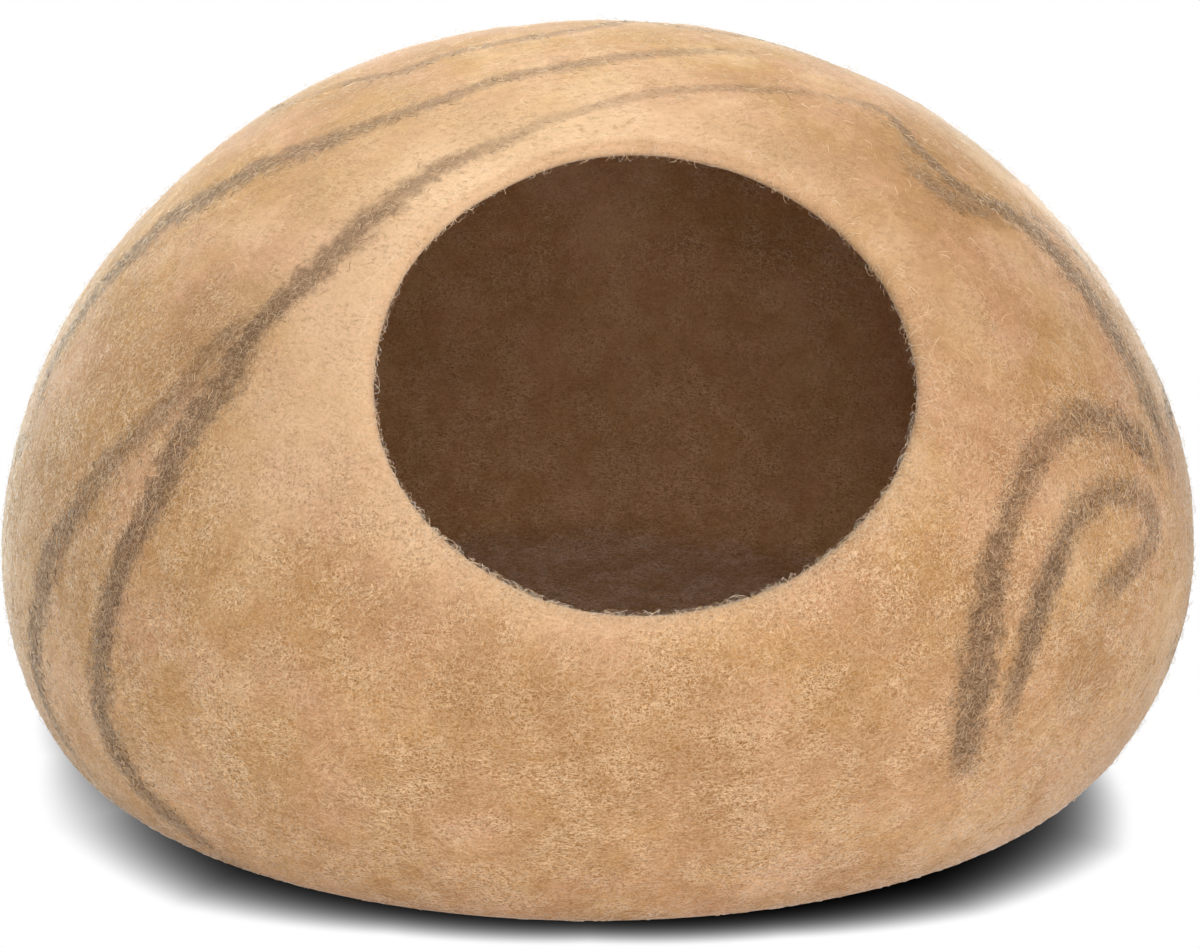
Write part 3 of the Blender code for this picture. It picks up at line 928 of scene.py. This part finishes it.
def add_fibres(name, paths, ups, half_widths, tones, row, column, material):
    """One piece of many spindles, riding on the shell's body. Each has a tone, and the nap and the
    patches of its place on the grid. Wool lets light through, so a fibre is shaded nearly as the
    felt under it is, and casts no shadow."""
    points, quads, triangles = spindles(paths, ups, half_widths)
    points[:, :, 2] = np.maximum(points[:, :, 2], FLOOR_GAP)
    mesh = mesh_from(name, points.reshape(-1, 3), quads, triangles)
    outward = points - points.mean(axis=1, keepdims=True)
    leaning = ups.mean(axis=1)[:, None, :] + OWN_SHADING * unit_rows(outward)
    mesh.normals_split_custom_set_from_vertices(unit_rows(leaning).reshape(-1, 3))
    add_values(mesh, "tone", np.repeat(tones, points.shape[1]))
    add_values(mesh, "nap", np.repeat(on_grid(nap, row, column), points.shape[1]))
    add_values(mesh, "patches", np.repeat(on_grid(patches, row, column), points.shape[1]))
    layer = mesh.uv_layers.new(name="OFBake")
    layer.data.foreach_set("uv", spindle_uv(len(paths), paths.shape[1]).astype(np.float32))
    mesh.materials.append(material)
    piece = bpy.data.objects.new(name, mesh)
    piece.visible_shadow = False
    bpy.context.scene.collection.objects.link(piece)
    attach(piece, "root")


# How thickly fibres lie on each cell of the grid: by its area, thinner inside, and none below.
diagonals = rows[1:] - np.roll(rows, -1, axis=1)[:-1], np.roll(rows, -1, axis=1)[1:] - rows[:-1]
cell_area = np.linalg.norm(np.cross(*diagonals), axis=2) / 2
cell_middle = (rows[:-1] + np.roll(rows, -1, axis=1)[1:]) / 2
cell_share = np.where(np.arange(len(rows) - 1)[:, None] >= rim_end, INNER_SHARE, 1.0)
cell_share = np.where(cell_middle[:, :, 2] < LOWEST_FIBRE, 0.0, cell_share)
smoother = np.interp(cell_middle[:, :, 2], SMOOTHER_HEIGHTS, SMOOTHER)
fewer_up = np.interp(cell_middle[:, :, 2], FEWER_HEIGHTS, FEWER)
grid_fields = shell_fields[:, :rows.shape[0] * COLUMNS].reshape(2, *rows.shape[:2], 3)


def body_share(fields):
    """How much vein wool lies at each point: by its place across the stronger vein's width."""
    shares = fields[..., 2] * np.clip((VEIN_BODY - np.abs(fields[..., 0])) / BODY_FADE, 0.0, 1.0)
    return shares.max(axis=0)


cell_veins = body_share(grid_fields)[:-1]
thirds = np.array([0.0, 1 / 3, 2 / 3, 1.0])


def tufts(seed):
    """How thick fibres lie on each cell: the cube of smooth noise of two sizes."""
    places = cell_middle.reshape(-1, 3)
    total = np.full(len(places), TUFT_EVEN)
    for size, seed_step in TUFT_SIZES:
        total += TUFT_WAVE * value_noise(places, size, seed + seed_step)
    return np.clip(total, *TUFT_RANGE).reshape(cell_middle.shape[:2]) ** 3


def level_at(row, column):
    """The felt's normal and the level direction to the right at places on its grid."""
    normal = unit_rows(on_grid(surface_normals, row, column))
    return normal, unit_rows(np.cross(LEVEL_TURN, normal))


for name, count, lengths, thickness, own_colours, own_share, share_on_veins, seed in FIBRE_KINDS:
    random = np.random.default_rng(seed)
    if share_on_veins is None:
        weights = cell_area * cell_share * cell_veins * fewer_up
    else:
        bared = 1.0 - cell_veins * (1.0 - share_on_veins)
        weights = cell_area * cell_share * smoother * bared * tufts(seed)
    row, column = scatter(count, weights, random)
    root = on_grid(rows, row, column)
    normal, level = level_at(row, column)
    spread = np.interp(root[:, 2], SPREAD_HEIGHTS, SPREAD)
    angle = FIBRE_SLOPE + DRIFT_TURN * value_noise(root, DRIFT_SIZE, DRIFT_SEED)
    angle += random.normal(0.0, 1.0, count) * spread
    if share_on_veins is None:
        course = vein_fields(root, normal)[1]
        course -= normal * np.sum(course * normal, axis=1, keepdims=True)
        has_course = np.linalg.norm(course, axis=1) > 0.5
        level = np.where(has_course[:, None], unit_rows(course), level)
        angle = random.normal(0.0, VEIN_SPREAD, count)
    turned = np.cross(normal, level)
    forward = np.cos(angle)[:, None] * level + np.sin(angle)[:, None] * turned
    length = random.uniform(*lengths, count)[:, None]
    bow = random.normal(0.0, BOW, count)[:, None] * length
    swing = random.normal(0.0, SWING, count)[:, None] * length
    along = (thirds - 0.5) * length
    aside = bow * 4 * thirds * (1 - thirds) + swing * np.sin(2 * math.pi * thirds)
    paths, ups = laid_paths(row, column, forward, along, aside)
    lift = random.uniform(*FIBRE_LIFT, count)[:, None]
    height = lift * 4 * thirds * (1 - thirds) - FIBRE_SINK
    paths += ups * height[:, :, None]
    add_fibres(
        name, paths, ups, random.uniform(*thickness, count), random.uniform(0.0, 1.0, count),
        row, column, fibre_material(name, *own_colours, own_share))

# The stray fibres ---------------------------------------------------------------------------------
# Finer hairs that felting didn't catch. One end is in the felt and the other stands off it in a
# loose curl: short ones are the fuzz on its edges, and long ones are few. They are thickest on the
# mouth's edge, which is rubbed most.

STRAY_KINDS = (
    # name, count, points, length range, height range, half thickness range, share on the rim, seed
    ("stray_fibres", 1500, 6, (0.004, 0.010), (0.0008, 0.0026), (0.00005, 0.00010), 60.0, 71),
    ("short_fuzz", 9500, 4, (0.0020, 0.0050), (0.0005, 0.0020), (0.00005, 0.00010), 20.0, 72),
)
RIM_HAIR_THICKER = 1.5
RIM_HAIR_ROWS = (-1, 6)             # the grid's rows of the mouth's edge, from the rim's start
CURL, WAVE = 0.22, 0.07             # how far a stray fibre bends and waves, in its lengths
WAVES_ALONG = 1.25                  # how many waves it has
SHORTENED = 0.15                    # how much of its length the curl takes
TURN_BACK = (0.4, 1.0)              # where its end stands: risen at the half, back down at one
RISE = 0.8                          # exponent: below one, it rises soonest at its root
STRAY_OWN = 0.6                     # how much of its colour is its own
STRAY_FROM = 0.02                   # none stand near the floor
STRAY_DARK, STRAY_PALE = colour(206, 166, 128), colour(250, 226, 196)

rows_from_rim = np.arange(len(rows) - 1) - rim_start
on_rim = (rows_from_rim >= RIM_HAIR_ROWS[0]) & (rows_from_rim < RIM_HAIR_ROWS[1])
for name, count, path_points, lengths, heights, thickness, rim_share, seed in STRAY_KINDS:
    random = np.random.default_rng(seed)
    stray_share = cell_share * fewer_up * np.where(on_rim, rim_share, 1.0)[:, None]
    stray_share = np.where(cell_middle[:, :, 2] < STRAY_FROM, 0.0, stray_share)
    row, column = scatter(count, cell_area * stray_share, random)
    normal, level = level_at(row, column)
    angle = random.uniform(0.0, 2 * math.pi, count)[:, None]
    forward = np.cos(angle) * level + np.sin(angle) * np.cross(normal, level)
    steps = np.arange(path_points) / (path_points - 1)
    length = random.uniform(*lengths, count)[:, None]
    curl = random.normal(0.0, CURL, count)[:, None] * length
    wave = random.normal(0.0, WAVE, count)[:, None] * length
    phase = random.uniform(0.0, 2 * math.pi, count)[:, None]
    along = length * (steps - SHORTENED * steps ** 2)
    waving = np.sin(2 * math.pi * WAVES_ALONG * steps + phase) - np.sin(phase)
    aside = curl * steps ** 2 + wave * waving
    paths, ups = laid_paths(row, column, forward, along, aside)
    height = random.uniform(*heights, count)[:, None]
    turn_back = random.uniform(*TURN_BACK, count)[:, None]
    risen = height * np.sin(math.pi * turn_back * steps ** RISE) - FIBRE_SINK
    paths += ups * risen[:, :, None]
    thicker = np.where(on_rim[row.astype(int)], RIM_HAIR_THICKER, 1.0)
    add_fibres(
        name, paths, ups, random.uniform(*thickness, count) * thicker, random.uniform(0.0, 1.0, count),
        row, column, fibre_material(name, STRAY_DARK, STRAY_PALE, STRAY_OWN))

# The floor and the light --------------------------------------------------------------------------
# A white paper floor that the shell stands on: seen from the view it glows plain white, with a
# painted shadow at the shell's foot, and to all other rays it is matte paper. And three large soft
# lights in a white room: a strong one high behind, one in front, which also lights the inside, and
# a weaker one on the right.

FLOOR_REACH = 9.0
SHADE_RINGS = 36
SHADE_REACH = 0.06                  # the widest shade, in metres from the foot
SHADE_CURVE = 1.5
SHADE = (
    # bearing from +X, how far the painted shadow reaches there, and how deep it is at the foot
    (-165, 0.018, 1.2), (-150, 0.036, 1.6), (-130, 0.043, 4.6), (-110, 0.026, 5.0), (-90, 0.021, 5.0),
    (-70, 0.027, 7.0), (-50, 0.043, 7.6), (-30, 0.048, 4.4), (-12, 0.020, 1.6), (90, 0.015, 1.5))

foot = outer[BASE_ROWS - 1, :, :2]
foot_along = np.roll(foot, -1, axis=0) - np.roll(foot, 1, axis=0)
foot_out = unit_rows(np.stack([foot_along[:, 1], -foot_along[:, 0]], axis=-1))
foot_out *= np.sign(np.sum(foot_out * foot, axis=1, keepdims=True))
ring_reach = np.append(np.linspace(0.0, SHADE_REACH, SHADE_RINGS), FLOOR_REACH)[:, None]
bearing = np.degrees(np.arctan2(foot[:, 1], foot[:, 0]))
shade_bearing, shade_reach, shade_depth = np.array(SHADE).T
reach_there = np.interp(bearing, shade_bearing, shade_reach, period=360)
depth_there = np.interp(bearing, shade_bearing, shade_depth, period=360)
shade = np.exp(-depth_there * np.clip(1.0 - ring_reach / reach_there, 0.0, 1.0) ** SHADE_CURVE)
rings = foot + foot_out * ring_reach[:, :, None]
floor_points = np.vstack([rings.reshape(-1, 2), foot.mean(axis=0), foot.mean(axis=0)])
floor_points = np.column_stack([floor_points, np.zeros(len(floor_points))])
floor_quads, floor_fans = closed_grid_faces(len(rings), COLUMNS)
floor_mesh = mesh_from("floor", floor_points, floor_quads, floor_fans[:COLUMNS])
add_values(floor_mesh, "shade", np.append(shade, [0.0, 0.0]))
floor = bpy.data.objects.new("floor", floor_mesh)
bpy.context.scene.collection.objects.link(floor)
paper = bpy.data.materials.new("white_paper")
paper.use_nodes = True
tree = paper.node_tree
matte = tree.nodes["Principled BSDF"]
matte.inputs["Base Color"].default_value = (0.85, 0.85, 0.85, 1.0)
matte.inputs["Roughness"].default_value = 0.9
matte.inputs["Specular IOR Level"].default_value = 0.1
# Painted shadow: to the view, the floor glows with the shade attribute as its colour.
shade_here = add(tree, "ShaderNodeAttribute", attribute_name="shade").outputs["Fac"]
glow_with_painted_shadow = add(tree, "ShaderNodeEmission", {"Color": shade_here, "Strength": 1.0})
is_seen = add(tree, "ShaderNodeLightPath").outputs["Is Camera Ray"]
either = add(tree, "ShaderNodeMixShader", {0: is_seen, 1: matte.outputs[0], 2: glow_with_painted_shadow.outputs[0]})
tree.links.new(either.outputs[0], tree.nodes["Material Output"].inputs["Surface"])
floor_mesh.materials.append(paper)

SURROUND = 0.28                     # strength of the white room, on all but the view itself
LIGHTS_AIM = np.array([0.0, 0.0, 0.12])     # the place that the lights face

world = bpy.data.worlds.new("white_surround")
world.use_nodes = True
tree = world.node_tree
surround = tree.nodes["Background"]
surround.inputs["Color"].default_value = (1.0, 1.0, 1.0, 1.0)
is_seen = add(tree, "ShaderNodeLightPath").outputs["Is Camera Ray"]
tree.links.new(ranged(tree, is_seen, 0.0, 1.0, SURROUND, 1.0), surround.inputs["Strength"])
bpy.context.scene.world = world


def soft_light(name, place, size, watts, tint):
    """A square area light at a place, facing the shell."""
    light = bpy.data.lights.new(name, "AREA")
    light.shape = "SQUARE"
    light.size = size
    light.energy = watts
    light.color = tint
    holder = bpy.data.objects.new(name, light)
    back = unit_rows(np.array(place) - LIGHTS_AIM)
    side = unit_rows(np.cross([0.0, 0.0, 1.0], back))
    put_in_scene(holder, side, np.cross(back, side), back, place)


soft_light("high_behind", (-0.6, 1.5, 1.7), 1.7, 105.0, (0.81, 0.95, 1.0))
soft_light("in_front", (0.1, -2.1, 0.95), 1.7, 27.5, (1.0, 1.0, 1.0))
soft_light("on_the_right", (1.8, -1.5, 1.2), 1.6, 17.0, (1.0, 1.0, 1.0))
bpy.context.scene.view_settings.view_transform = "Standard"
